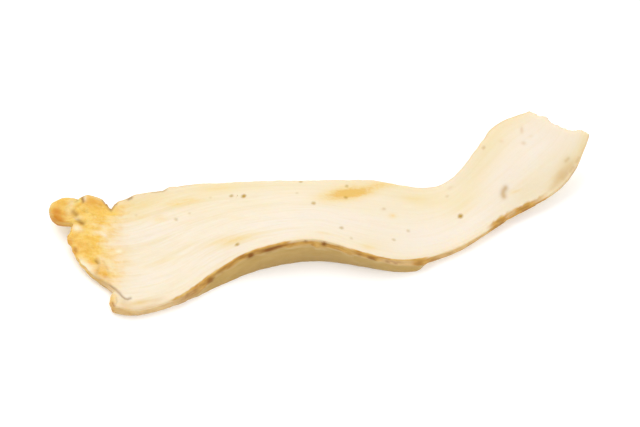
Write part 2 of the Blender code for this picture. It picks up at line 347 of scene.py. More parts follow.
# How golden the flesh is from the torn end inwards, on top of the patches: the
# place across where it starts to fade and where it is gone.
VEIL_FROM, VEIL_TO, VEIL_LOW = 146.0, 174.0, 347.0
STAINS = (
    (262.6, 305.9, 10.5, 3.1, -6, 1.00), (264.2, 305.4, 6.0, 2.0, -8, 0.45),
    (272.5, 304.0, 8.0, 2.0, -18, 0.55), (280.0, 302.6, 7.0, 1.5, -8, 0.32),
    (255.0, 308.6, 7.0, 1.8, 0, 0.35), (211.5, 326.8, 8.0, 2.2, -12, 0.42),
    (219.0, 325.2, 9.0, 1.6, -14, 0.22), (190.0, 310.0, 9.0, 2.0, -8, 0.45),
    (194.0, 309.2, 3.0, 0.8, 0, 0.30), (186.5, 311.0, 3.0, 0.8, 0, 0.30),
    (180.3, 317.6, 3.4, 1.2, -10, 0.42), (172.0, 312.0, 8.0, 2.6, -14, 0.35),
    (206.0, 304.0, 9.0, 1.8, -4, 0.38), (214.0, 316.8, 4.0, 1.0, 0, 0.20),
    (282.6, 315.9, 1.8, 1.0, 0, 0.55), (271.8, 329.6, 3.2, 1.2, 12, 0.40),
    (252.0, 323.4, 3.4, 0.8, 8, 0.25), (172.5, 353.8, 5.0, 1.2, -8, 0.50),
    (182.0, 336.0, 10.0, 0.8, -16, 0.30), (205.0, 327.6, 7.0, 0.8, -22, 0.25),
    (196.0, 318.0, 9.0, 0.8, -12, 0.20), (314.0, 314.8, 5.0, 0.8, -38, 0.18),
    (336.5, 305.4, 2.6, 0.6, -20, 0.40), (292.0, 309.0, 6.0, 1.6, 8, 0.30),
    (171.0, 317.0, 6.0, 1.8, -10, 0.30), (312.5, 312.5, 5.0, 0.8, -38, 0.12),
)
WARM = (
    (196.0, 306.0, 36.0, 4.6, -7, 0.85), (170.0, 312.5, 12.0, 5.0, -22, 0.70),
    (232.0, 303.0, 26.0, 2.4, 0, 0.45), (284.0, 304.0, 14.0, 3.2, 6, 0.55),
    (300.0, 309.5, 18.0, 5.2, 0, 0.85), (318.0, 300.0, 5.0, 16.0, 30, 0.80),
    (327.0, 283.0, 6.0, 11.0, 38, 0.75), (336.0, 274.0, 8.0, 3.0, -30, 0.50),
    (367.0, 285.5, 2.6, 8.5, 15, 1.10), (357.0, 296.5, 11.0, 3.8, -52, 1.05),
    (342.0, 303.5, 9.0, 4.4, -34, 0.60),
    (176.0, 334.0, 18.0, 7.0, -18, 0.35), (214.0, 312.0, 22.0, 3.0, -6, 0.35),
    (184.0, 346.0, 14.0, 3.0, -18, 0.30), (167.0, 345.0, 6.0, 2.6, -20, 0.35), (352.0, 291.0, 8.0, 4.0, -40, 0.30),
    (274.0, 327.5, 9.0, 3.0, 16, 0.35), (270.0, 312.0, 14.0, 2.4, 4, 0.28),
)
# Painted light: paler patches where the cut face turns towards the light, and on the raised right end: place, half
# sizes, turn, strength.
PAINTED_LIGHT_PATCHES = (
    (208.0, 334.0, 16.0, 5.0, -24, 0.80), (236.0, 320.0, 22.0, 5.5, -8, 0.90),
    (178.0, 324.0, 14.0, 6.0, -12, 0.60), (176.0, 344.0, 12.0, 5.0, -16, 0.75),
    (300.0, 326.5, 18.0, 6.5, -14, 1.00), (322.0, 316.0, 14.0, 5.5, -36, 0.85),
    (346.0, 285.0, 11.0, 9.0, -40, 0.95), (332.0, 300.0, 9.0, 8.0, -50, 0.70),
    (280.0, 321.0, 12.0, 3.5, 8, 0.50), (260.0, 318.0, 12.0, 4.0, 0, 0.60),
    (185.0, 331.0, 9.0, 4.5, -15, 0.55), (240.0, 325.5, 12.0, 2.6, -2, 0.45),
)
# Tan spots; the patches along the near left lip and by the right end's drooping near edge are painted shade where
# the face curves down: place, half sizes, turn, strength.
TAN_SPOTS_AND_SHADE = (
    (166.5, 356.5, 5.0, 2.0, 0, 0.30), (176.0, 357.2, 9.0, 1.8, -8, 0.42),
    (165.4, 353.8, 2.8, 1.6, 10, 0.36), (173.6, 353.4, 4.6, 1.1, -12, 0.40),
    (180.4, 352.6, 3.6, 1.0, -16, 0.34), (176.6, 355.4, 5.0, 0.9, -10, 0.30),
    (186.0, 353.8, 7.0, 1.4, -22, 0.40), (356.2, 298.8, 4.8, 2.2, -58, 0.58),
    (360.4, 294.2, 4.2, 1.5, -56, 0.42), (352.6, 303.5, 3.4, 1.2, -42, 0.26),
    (339.4, 278.3, 0.9, 1.5, 0, 0.26), (340.3, 284.2, 1.2, 0.8, 0, 0.28),
    (330.4, 283.2, 1.0, 0.7, 0, 0.25), (308.0, 303.6, 1.6, 0.8, -20, 0.24),
    (306.6, 307.4, 0.9, 0.6, 0, 0.25), (278.4, 313.0, 1.2, 0.7, 0, 0.25),
    (343.4, 281.0, 1.0, 0.6, 0, 0.15), (366.4, 288.0, 1.5, 3.6, 15, 0.36),
    (363.4, 292.6, 1.6, 2.4, 30, 0.20), (358.6, 291.4, 2.2, 1.4, -50, 0.18),
)
# Thin lines on the face: half width, strength, then the places it runs through.
LINES = (
    (0.65, 0.75, ((146.5, 307.4), (146.9, 310.0))),
    (0.95, 0.50, ((142.9, 314.0), (144.2, 315.2))),
    (0.60, 0.18, ((143.0, 316.5), (145.0, 317.8))),
    (0.95, 0.60, ((145.0, 317.9), (147.2, 319.3))),
    (0.75, 0.60, ((155.8, 309.2), (157.2, 311.2))),
    (0.70, 0.50, ((157.4, 311.6), (159.1, 313.5), (160.3, 311.6), (161.2, 310.8))),
    (0.80, 0.55, ((153.2, 335.6), (154.0, 336.3))),
    (0.55, 0.16, ((154.5, 337.4), (154.1, 339.4), (153.5, 341.6))),
    (0.60, 0.12, ((156.4, 335.8), (158.0, 339.0), (158.8, 341.2))),
    (0.70, 0.22, ((150.6, 341.6), (153.0, 343.6), (155.8, 345.5), (158.2, 346.9))),
    (0.55, 0.52, ((159.6, 346.6), (161.7, 347.9), (163.5, 349.4), (165.0, 351.1),
                  (166.2, 352.0), (167.3, 352.2), (168.5, 351.7))),
    (0.80, 0.50, ((160.4, 354.0), (161.4, 355.2))),
    (0.45, 0.22, ((162.3, 351.6), (162.7, 353.4), (162.0, 354.8))),
    (0.75, 0.60, ((166.6, 308.6), (167.9, 308.0))),
    (0.75, 0.35, ((143.6, 330.2), (144.3, 331.4))),
    (0.45, 0.30, ((177.0, 305.7), (181.8, 305.2), (183.2, 304.5))),
    (0.50, 0.12, ((144.6, 311.6), (146.0, 313.2), (149.0, 314.6))),
    (0.90, 0.45, ((328.8, 318.6), (330.2, 317.8))),
    (0.90, 0.50, ((338.8, 313.2), (341.8, 311.8))),
    (0.60, 0.40, ((334.2, 316.4), (336.6, 315.0))),
)
# Tan marks of the same kind: the curl, short ticks and spots by the edge.
CURLS = (
    (1.25, 0.66, ((332.1, 303.9), (331.2, 305.1), (330.9, 306.3), (331.3, 307.5))),
    (0.70, 0.35, ((358.6, 292.0), (359.8, 290.8))),
    (1.10, 0.26, ((357.6, 299.6), (359.2, 297.6))),
    (0.80, 0.40, ((360.6, 296.6), (361.9, 294.8))),
    (0.60, 0.30, ((363.4, 292.4), (364.4, 290.4))),
    (0.60, 0.16, ((339.4, 277.4), (339.4, 279.0))),
    (0.95, 0.62, ((152.0, 342.3), (154.6, 344.0), (157.0, 345.3), (159.2, 346.7))),
)
# Where the skin comes over the edge onto the near side of the face: from and to
# across, how far in millimetres.
TURNED = (
    (325.0, 349.5, 0.62),
    (186.0, 206.0, 0.28),
    (200.0, 238.0, 0.16),
    (264.0, 298.0, 0.14),
)
# Pale flecks and painted highlights on the torn end's lumps: place, half sizes, turn, strength.
PALE_FLECKS_AND_HIGHLIGHTS = (
    (144.6, 321.5, 2.4, 1.4, 20, 0.85), (156.6, 324.6, 2.0, 0.8, 35, 0.75), (153.2, 323.0, 2.4, 1.0, 10, 0.45),
    (155.4, 334.6, 1.8, 1.0, 20, 0.40), (141.8, 310.4, 1.3, 1.5, 10, 0.35),
    (162.9, 331.6, 1.6, 0.9, 0, 0.90), (148.8, 338.6, 3.8, 1.9, 42, 0.95),
    (144.2, 317.2, 1.4, 0.7, 20, 0.50), (147.6, 308.6, 0.8, 1.4, 0, 0.60),
    (156.2, 321.0, 1.6, 0.6, 20, 0.40), (150.6, 342.0, 2.4, 0.9, 35, 0.45),
    (145.8, 316.4, 1.8, 0.9, 10, 0.30), (151.8, 319.6, 2.2, 0.7, 10, 0.30),
    (163.2, 353.8, 1.4, 2.2, 10, 0.22), (289.4, 312.0, 2.6, 0.6, 6, 0.30),
    (146.6, 336.0, 1.8, 1.2, 50, 0.40), (141.2, 313.4, 1.9, 3.4, 12, 0.28),
)
# Specks: place, radius, strength.
SPECKS = (
    (212.2, 307.4, 0.85, 0.75), (217.6, 307.4, 1.00, 1.08), (242.0, 301.2, 0.85, 0.70),
    (247.7, 310.5, 0.90, 0.75), (262.4, 302.9, 0.75, 0.60), (261.9, 307.7, 0.80, 0.75),
    (259.9, 321.2, 0.90, 0.62), (214.7, 328.4, 0.95, 0.90), (264.1, 325.9, 0.75, 0.34),
    (278.6, 313.0, 0.75, 0.28), (289.5, 322.4, 0.80, 0.44), (283.0, 326.6, 0.80, 0.46),
    (322.6, 286.2, 0.85, 0.42), (312.1, 316.1, 1.05, 1.12), (187.4, 317.7, 0.80, 0.48),
    (193.7, 314.9, 0.65, 0.26), (240.4, 306.3, 0.65, 0.28), (170.2, 315.6, 0.60, 0.22),
    (306.5, 307.5, 0.70, 0.14), (202.5, 308.2, 0.60, 0.20), (340.2, 284.2, 0.80, 0.13),
)
# Marks down the near side: from and to across, from and to down the side in
# millimetres, strength of brown.
SIDE_MARKS = (
    (218.4, 221.8, 0.05, 0.95, 1.15), (223.6, 236.4, 0.25, 0.85, 1.15),
    (225.4, 231.5, 0.40, 1.05, 1.05), (243.6, 245.4, 0.10, 0.70, 0.60),
    (251.4, 253.8, 0.15, 1.15, 1.10), (257.8, 259.2, 0.20, 0.60, 0.35),
    (201.2, 235.0, 0.05, 0.40, 0.50), (200.8, 204.0, 0.10, 0.95, 0.90),
    (191.4, 194.4, 0.00, 0.80, 0.50), (195.0, 197.6, 0.10, 0.90, 0.45),
    (203.6, 213.5, 0.05, 0.50, 0.60), (206.6, 208.4, 0.20, 0.70, 0.40),
    (186.6, 199.8, 0.10, 1.60, 0.30), (264.6, 270.0, 0.20, 0.80, 0.45),
    (271.4, 275.2, 0.25, 1.10, 0.90), (267.0, 268.6, 0.70, 1.10, 0.50),
    (276.0, 291.0, 0.15, 0.42, 0.28), (279.2, 281.2, 0.15, 0.75, 0.50),
    (283.0, 284.4, 0.30, 0.80, 0.40), (292.2, 296.2, 0.15, 0.90, 0.55),
    (297.0, 303.4, 0.40, 1.30, 0.40), (325.4, 332.0, 0.20, 1.00, 0.55),
    (328.8, 331.6, 0.05, 0.90, 0.70), (338.8, 343.0, 0.10, 0.95, 0.70),
    (343.0, 348.8, 0.15, 0.80, 0.45), (334.0, 338.5, 0.20, 0.90, 0.16),
    (355.6, 360.4, 0.10, 1.20, 0.40), (360.2, 363.2, 0.00, 0.80, 0.60),
    (306.0, 309.0, 0.40, 1.10, 0.35), (315.0, 317.2, 0.50, 1.20, 0.30),
)
# How far down the near side the browner band reaches: place across, depth.
BAND = (
    (186, 1.7), (197, 1.3), (203, 0.55), (222, 0.90), (236, 1.15), (244, 1.55),
    (262, 1.55), (270, 1.20), (280, 0.95), (292, 0.95), (297, 1.3),
)
# Where skin peels off the near rim and stands out: from and to across, how far.
PEELS = (
    (217.0, 237.0, 0.10), (250.5, 255.0, 0.12), (264.0, 276.5, 0.12),
    (277.0, 297.5, 0.14), (293.0, 298.5, 0.22), (326.0, 331.5, 0.10),
    (334.0, 345.0, 0.12), (187.0, 203.5, 0.12),
)
# Lumps and hollows of the torn end: place, half sizes, turn, height in mm.
LUMPS = (
    (137.0, 313.4, 4.2, 4.8, 0, 0.50), (150.6, 311.2, 5.4, 3.4, 12, 0.42),
    (142.6, 312.0, 2.0, 3.6, 20, -0.12), (147.8, 328.6, 5.2, 5.0, 20, 0.26),
    (144.8, 321.8, 2.4, 1.8, 10, 0.16), (152.4, 322.2, 5.0, 1.6, 15, -0.16),
    (149.2, 338.8, 4.0, 2.0, 40, 0.14), (156.8, 339.8, 3.2, 2.4, 40, 0.22),
    (153.4, 335.4, 3.0, 1.0, 40, -0.20), (162.9, 331.8, 2.2, 1.4, 0, 0.14),
    (156.6, 324.8, 2.2, 1.0, 35, 0.14), (164.4, 355.6, 3.4, 3.0, 0, 0.20),
    (170.0, 350.6, 5.0, 1.6, 10, -0.10), (159.0, 317.0, 6.0, 2.0, 20, 0.12),
    (172.0, 325.0, 5.0, 3.0, 0, 0.10), (144.6, 316.4, 2.6, 1.2, 30, -0.18),
    (331.2, 305.8, 1.4, 2.2, 0, -0.06), (262.0, 306.0, 9.0, 3.0, -5, -0.06),
    (211.0, 327.0, 6.0, 2.0, -12, -0.05), (175.5, 357.5, 8.0, 1.8, -8, -0.15),
)


def lattice(i, j, seed):
    """A repeatable number from -1 to 1 for each whole place."""
    n = (i * 374761393 + j * 668265263 + seed * 974634777) & 0xFFFFFFFF
    n = ((n ^ (n >> 13)) * 1274126177) & 0xFFFFFFFF
    return ((n ^ (n >> 16)) & 0xFFFF) / 32767.5 - 1.0


def rough(x, y, seed):
    """Smooth uneven values from -1 to 1 over a plane."""
    x, y = np.broadcast_arrays(np.asarray(x, float), np.asarray(y, float))
    i, j = np.floor(x).astype(np.int64), np.floor(y).astype(np.int64)
    a, b = x - i, y - j
    a, b = a * a * (3 - 2 * a), b * b * (3 - 2 * b)
    low = lattice(i, j, seed) * (1 - a) + lattice(i + 1, j, seed) * a
    high = lattice(i, j + 1, seed) * (1 - a) + lattice(i + 1, j + 1, seed) * a
    return low * (1 - b) + high * b


def layered(x, y, seed, layers=3):
    total, size = 0.0, 1.0
    for k in range(layers):
        total = total + rough(x * 2**k, y * 2**k, seed + 17 * k) * size
        size *= 0.5
    return total / 1.6


def step(low, high, value):
    s = np.clip((value - low) / (high - low), 0, 1)
    return s * s * (3 - 2 * s)


def blots(u, v, table):
    """The marks of a table laid over each other."""
    total = np.zeros_like(u)
    for cu, cv, hu, hv, turn, strength in table:
        c, s = math.cos(math.radians(turn)), math.sin(math.radians(turn))
        x, y = (u - cu) * c + (v - cv) * s, (v - cv) * c - (u - cu) * s
        one = strength * np.exp(-((x / hu) ** 2 + (y / hv) ** 2))
        total = total + one * (1 - 0.5 * np.clip(total, 0, 1))
    return total


def line_distance(u, v, line):
    best = np.full_like(u, 1e9)
    for (a, b), (c, d) in zip(line, line[1:]):
        s = ((u - a) * (c - a) + (v - b) * (d - b)) / ((c - a) ** 2 + (d - b) ** 2)
        s = np.clip(s, 0, 1)
        best = np.minimum(best, np.hypot(u - a - s * (c - a), v - b - s * (d - b)))
    return best


def marked_lines(u, v, table):
    total = np.zeros_like(u)
    for half, strength, line in table:
        one = strength * np.exp(-((line_distance(u, v, line) / half) ** 2))
        total = np.maximum(total, one)
    return total


def torn_outline():
    """The torn end's reach across the strip, and the far edge's line along it,
    found from how they are seen."""
    along = np.arange(-4.0, 22.0, 0.06)[:, None] + np.zeros((1, 301))
    across = np.linspace(-0.06, 1.10, 301)[None, :] + np.zeros((along.shape[0], 1))
    middle, thick, width, shift = sheet(along, across)
    top = middle + upward(middle) * (thick / 2 * 0.85)[:, :, None]
    u, v = seen(top)

    def found(line):
        places = []
        for a, b in line:
            k = np.argmin((u - a) ** 2 + (v - b) ** 2)
            places.append((along.flat[k], across.flat[k]))
        return np.array(places)

    torn = found(TORN_LINE)
    torn = torn[np.argsort(torn[:, 1])]
    far = found(FAR_LINE)
    far = far[np.argsort(far[:, 0])]
    return torn, far


def fine_places():
    c, r = COLUMNS, ROWS
    knots, table = stations()
    length = knots[-1]
    i = np.linspace(0, 1, c + 1)[:, None]
    j = np.linspace(0, 1, r + 1)[None, :]
    i = i - 0.085 * np.sin(2 * np.pi * i) / 1.2
    across = j - 0.07 * np.sin(2 * np.pi * j)
    along = i * length + 0 * across
    across = across + 0 * along
    torn, far = torn_outline()
    places = np.concatenate([[0.0], torn[:, 1], [1.0]])
    reach = np.concatenate([[0.0], -torn[:, 0], [-far[0, 0]]])
    keep = np.concatenate([[True], (torn[:, 1] > 0.01) & (torn[:, 1] < 0.995), [True]])
    places, reach = places[keep], reach[keep]
    torn_at = np.interp(across[0], places, reach)
    torn_at += 0.10 * layered(across[0] * 55, 0.0, 3)
    cut_at = outline(across[0], CUT_END)
    cut_at += 0.13 * layered(across[0] * 42, 0.0, 5) * step(0.02, 0.1, across[0])
    along = along - torn_at[None, :] * np.exp(-((along / CRACK_FADE) ** 2))
    ending = np.exp(-(((length - along) / CRACK_FADE) ** 2))
    along = along + cut_at[None, :] * ending

    # the far edge's notches, then small unevenness of both long edges
    at = along[:, -1]
    gap = np.interp(at, far[:, 0], 1 - far[:, 1], left=1 - far[0, 1], right=0.0)
    gap *= 1 - step(14.0, 21.0, at)
    gap += 0.0065 * layered(at / 1.1, 0.0, 7) + 0.006 * layered(at / 3.1, 0.5, 9)
    inner = 0.004 * layered(along[:, 0] / 0.9, 0.0, 11)
    inner += 0.005 * layered(along[:, 0] / 2.7, 0.5, 13)
    fade = np.clip((across - 1 + NOTCH_FADE) / NOTCH_FADE, 0, 1) ** 2
    across = across - gap[:, None] * fade
    fade = np.clip((0.2 - across) / 0.2, 0, 1) ** 2
    across = across + inner[:, None] * fade
    return along, across


def fine_slice():
    """The fine closed surface, in millimetres from the origin: its points,
    quads, the map of each quad's corners, and what the material reads."""
    c, r, k = COLUMNS, ROWS, RIM_ROWS
    along, across = fine_places()
    middle, thick, width, shift = sheet(along, across)
    up = upward(middle)
    near, far, left, right = from_edges(middle)
    edge = np.minimum(near, far)
    inside = np.clip(np.minimum(edge, np.minimum(left, right)) / RIM_RADIUS, 0, 1)
    half = thick / 2 * (1 - RIM_DROP * (1 - inside) ** 2)
    crisp = RIM_DROP * (0.35 + 0.65 * step(0.0, 2.0, near))
    top = middle + up * (thick / 2 * (1 - crisp * (1 - inside) ** 2))[:, :, None]
    bottom = middle - up * half[:, :, None] + shift
    spread = across * SPREAD
    u, v = seen(top)

    # the cut face: fibres along the strip, slow waves, the torn end's lumps
    fibre = 0.30 + 0.70 * (1 - step(185.0, 300.0, u))
    calm = step(0.0, 0.9, edge)
    relief = 0.050 * fibre * rough(along / 15, spread / 0.95, 21)
    relief += 0.028 * fibre * rough(along / 8, spread / 0.42, 22)
    relief += 0.100 * rough(along / 11, spread / 5.5, 23)
    relief += 0.040 * rough(along / 4.2, spread / 2.4, 24)
    relief += 0.010 * rough(along / 0.7, spread / 0.3, 25)
    relief *= 0.35 + 0.65 * calm
    torn = np.clip(blots(u, v, GOLD), 0, 1)
    veil = (1 - step(VEIL_FROM, VEIL_TO, u)) * step(VEIL_LOW + 3, VEIL_LOW - 3, v)
    brim = 1 - step(331.0, 335.0, v) * step(351.0, 347.0, v)
    relief += 0.15 * torn * layered(u / 3.1, v / 2.4, 31)
    relief += 0.05 * torn * layered(u / 1.1, v / 0.9, 33)
    lumps = np.zeros_like(u)
    for cu, cv, hu, hv, turn, height in LUMPS:
        lumps += blots(u, v, ((cu, cv, hu, hv, turn, 1.0),)) * height
    relief += lumps
    lines, curls = marked_lines(u, v, LINES), marked_lines(u, v, CURLS)
    relief -= 0.22 * lines * (0.35 + 0.65 * step(175.0, 168.0, u))
    specks = np.zeros_like(u)
    spot, spotted = np.zeros(u.shape + (3,)), np.zeros_like(u)
    best = np.full_like(u, 1e9)
    for a, b, radius, strength in SPECKS:
        centre = top.reshape(-1, 3)[np.argmin((u - a) ** 2 + (v - b) ** 2)]
        offset = (top - centre) / (radius * NET)
        d = np.linalg.norm(offset, axis=2)
        specks = np.maximum(specks, strength * np.exp(-(d**2)))
        hit = d < best
        best[hit], spot[hit], spotted[hit] = d[hit], offset[hit], strength
    spotted[best > 3] = 0
    spotted *= 0.85
    relief -= 0.03 * specks
    under = 0.05 * rough(along / 13, spread / 1.0, 41)
    under += 0.03 * rough(along / 6, spread / 0.5, 42)
    under += 0.06 * rough(along / 5, spread / 3.0, 43)
    under += 0.10 * torn * layered(u / 3.0, v / 2.5, 44)
    top = top + up * relief[:, :, None]
    bottom = bottom - up * under[:, :, None]
    bottom[:, :, 2] = np.maximum(bottom[:, :, 2], 0.0)

    # the rim, ring by ring from the top face's edge to the bottom face's
    loop_i = np.concatenate([np.arange(c), np.full(r, c), np.arange(c, 0, -1), np.zeros(r, int)])
    loop_j = np.concatenate([np.zeros(c, int), np.arange(r), np.full(c, r), np.arange(r, 0, -1)])
    kind = np.concatenate([np.zeros(c, int), np.ones(r, int), np.full(c, 2), np.full(r, 3)])
    n = len(loop_i)
    inner_i, inner_j = np.clip(loop_i, 3, c - 3), np.clip(loop_j, 3, r - 3)
    out = middle[loop_i, loop_j] - middle[inner_i, inner_j]
    out[:, 2] *= 0.35
    for _ in range(3):
        out = (np.roll(out, 1, 0) + out * 2 + np.roll(out, -1, 0)) / 4
    out /= np.linalg.norm(out, axis=1, keepdims=True)
    high, low = top[loop_i, loop_j], bottom[loop_i, loop_j]
    tall = np.linalg.norm(high - low, axis=1)
    run = np.concatenate([[0.0], np.cumsum(np.linalg.norm(np.diff(high, axis=0), axis=1))])
    ring_u, ring_v = u[loop_i, loop_j], v[loop_i, loop_j]
    on_near = (kind == 0).astype(float)
    on_torn = (kind == 3).astype(float)
    on_cut = (kind == 1).astype(float)
    for _ in range(12):
        on_near = (np.roll(on_near, 1) + on_near + np.roll(on_near, -1)) / 3
        on_torn = (np.roll(on_torn, 1) + on_torn + np.roll(on_torn, -1)) / 3
        on_cut = (np.roll(on_cut, 1) + on_cut + np.roll(on_cut, -1)) / 3

    # the underside is drawn in a little along both long edges
    ends = step(0.0, 3.0, left) * step(0.0, 2.0, right)
    for first, second, reach in ((0, 4, near), (r, r - 4, far)):
        away = (bottom[:, first] - bottom[:, second])[:, 0:2]
        for _ in range(6):
            away[1:-1] = (away[:-2] + 2 * away[1:-1] + away[2:]) / 4
        away /= np.linalg.norm(away, axis=1, keepdims=True)
        drawn = 0.16 * np.clip(1 - reach / 1.0, 0, 1) ** 2 * ends
        bottom[:, :, 0:2] -= away[:, None, :] * drawn[:, :, None]
    low = bottom[loop_i, loop_j]
    tall = np.linalg.norm(high - low, axis=1)
    peel = np.zeros(n)
    for start, end, stand in PEELS:
        peel = np.maximum(peel, stand * step(start - 1.0, start + 0.6, ring_u) * step(end + 1.0, end - 0.6, ring_u))
    peel *= on_near
    rings, rows_q = [], []
    wallness = step(1.5, 2.5, tall) * on_near
    band = np.interp(ring_u, *np.array(BAND, dtype=float).T)
    band = band * (1 + 0.22 * rough(run / 1.1, 0.0, 56))
    for m in range(1, k):
        q = m / k
        q = q - 0.5 * math.sin(2 * math.pi * q) / (2 * math.pi) * 0.9
        down = q * tall
        p = high * (1 - q) + low * q
        bulge = (RIM_BULGE + 0.05 * np.clip(tall - 1.6, 0, 4)) * math.sin(math.pi * q) ** 0.8
        wrinkle = 0.060 * rough(run / 3.4, down / 0.45, 51) + 0.035 * rough(run / 0.9, down / 0.35, 52)
        wrinkle = wrinkle + 0.05 * rough(run / 1.7, down / 1.4, 53)
        wrinkle = wrinkle + 0.15 * on_torn * layered(run / 0.8, down / 0.5, 54)
        lip = peel * step(0.10, 0.30, down) * step(1.25, 0.75, down)
        lip = lip - 0.6 * peel * step(0.9, 1.2, down) * step(2.2, 1.5, down)
        ends = math.sin(math.pi * q) ** 0.5
        p = p + out * (bulge + (wrinkle + lip) * ends)[:, None]
        p[:, 2] = np.maximum(p[:, 2], 0.02)
        rings.append(p)
        rows_q.append(q)

    count = (c + 1) * (r + 1)
    grid = np.arange(count).reshape(c + 1, r + 1)
    points = np.concatenate([top.reshape(-1, 3), bottom.reshape(-1, 3)] + rings)
    first = grid[loop_i, loop_j]
    ids = [first] + [2 * count + m * n + np.arange(n) for m in range(k - 1)] + [first + count]

    a, b, d, e = grid[:-1, :-1], grid[1:, :-1], grid[1:, 1:], grid[:-1, 1:]
    top_faces = np.stack([a, b, d, e], -1).reshape(-1, 4)
    low_faces = top_faces[:, ::-1] + count
    rim_faces = []
    for m in range(k):
        hi, lo = ids[m], ids[m + 1]
        rim_faces.append(np.stack([hi, lo, np.roll(lo, -1), np.roll(hi, -1)], -1))
    faces = np.concatenate([top_faces, low_faces] + rim_faces)

    # the map for baking: both faces as long bands, the rim in bands between
    length = along.max() - along.min()
    mu = 0.012 + 0.976 * (along - along.min()) / length
    mv = near / (near[:, -1:] + 1e-9) * near.max(axis=1, keepdims=True) / near.max()
    top_map = np.stack([mu, 0.010 + 0.425 * mv], -1).reshape(-1, 2)
    low_map = np.stack([mu, 0.445 + 0.395 * mv], -1).reshape(-1, 2)
    corner = [top_map[top_faces], low_map[low_faces - count]]
    part = run / run.max()
    nxt = np.roll(run, -1)
    nxt[-1] = run.max() + np.linalg.norm(high[0] - high[-1])
    for m in range(k):
        q0 = 0.0 if m == 0 else rows_q[m - 1]
        q1 = 1.0 if m == k - 1 else rows_q[m]
        maps = np.zeros((n, 4, 2))
        for side, base, deep in ((0, 0.850, 0.085), (1, 0.975, 0.02), (2, 0.942, 0.026), (3, 0.975, 0.02)):
            at = kind == side
            s0, s1 = run[at], nxt[at]
            low_s, high_s = s0.min(), s1.max()
            if side in (0, 2):
                x0 = 0.012 + 0.976 * (s0 - low_s) / (high_s - low_s)
                x1 = 0.012 + 0.976 * (s1 - low_s) / (high_s - low_s)
            else:
                shift_x = 0.02 if side == 1 else 0.52
                x0 = shift_x + 0.44 * (s0 - low_s) / (high_s - low_s)
                x1 = shift_x + 0.44 * (s1 - low_s) / (high_s - low_s)
            maps[at, 0] = np.stack([x0, base + deep * (1 - q0) + 0 * x0], -1)
            maps[at, 1] = np.stack([x0, base + deep * (1 - q1) + 0 * x0], -1)
            maps[at, 2] = np.stack([x1, base + deep * (1 - q1) + 0 * x0], -1)
            maps[at, 3] = np.stack([x1, base + deep * (1 - q0) + 0 * x0], -1)
        corner.append(maps)
    corner = np.concatenate(corner).reshape(-1, 2)

    # what the material reads, at every point
    total = len(points)
    read = {
        name: np.zeros(total)
        for name in ("gold", "deep", "stain", "warm", "pale_and_lit", "tan_and_shade", "skin", "wall", "dark", "flecks_and_highlights", "fibre", "curl", "specked")
    }
    strip = np.zeros((total, 3))
    speck = np.zeros((total, 3))
    t_ids, b_ids = slice(0, count), slice(count, 2 * count)
    strip[t_ids] = np.stack([along, spread, 0 * along], -1).reshape(-1, 3)
    strip[b_ids] = np.stack([along, spread, thick], -1).reshape(-1, 3)

    turned = 0.30 * np.exp(-near / 0.08) + 0.45 * np.exp(-far / 0.12)
    brown_edge = 0.45 * np.exp(-left / 0.14) * step(337.5, 341.5, v) * step(162.0, 158.0, u)
    ragged = 0.20 * rough(u / 1.3, 0.0, 75) + 0.10 * rough(u / 0.6, near / 0.3, 77)
    for start, end, over in TURNED:
        one = step(start - 2.0, start + 2.5, u) * step(end + 2.0, end - 2.5, u)
        turned = np.maximum(turned, one * step(1.45, 0.65, near / over + ragged))
    turned *= 1 - 0.26 * step(331.0, 333.2, u) * step(337.6, 335.6, u)
    turned *= 1 - 0.35 * step(343.0, 346.5, u) * step(352.0, 349.0, u)
    edge_far = np.exp(-far / 0.5)
    ends = np.exp(-right / 0.6)
    face = {
        "gold": 0.62 * torn + 0.62 * veil + 0.40 * brim * np.exp(-left / 1.3),
        # deep orange, with painted shade on the knob's lower left side
        "deep": blots(u, v, DEEP_ORANGE_AND_SHADE),
        "stain": blots(u, v, STAINS),
        "warm": blots(u, v, WARM) + 0.62 * np.exp(-near / 1.1) + 0.45 * np.exp(-far / 1.2) + 0.25 * ends,
        # paler patches of painted light where the face is lit
        "pale_and_lit": blots(u, v, PAINTED_LIGHT_PATCHES),
        # tan spots and tan along the far edge, with painted shade on the near left lip and the right end's drooping
        # edge
        "tan_and_shade": blots(u, v, TAN_SPOTS_AND_SHADE) + 0.55 * edge_far * step(200.0, 175.0, u) * 0.6,
        "skin": turned,
        "dark": lines,
        "curl": np.maximum(curls, brown_edge),
        # pale flecks, and painted highlights where the torn end's lumps face the light
        "flecks_and_highlights": blots(u, v, PALE_FLECKS_AND_HIGHLIGHTS),
        "fibre": fibre,
    }
    for name, value in face.items():
        read[name][t_ids] = value.ravel()
    speck[t_ids] = spot.reshape(-1, 3)
    read["specked"][t_ids] = spotted.ravel()

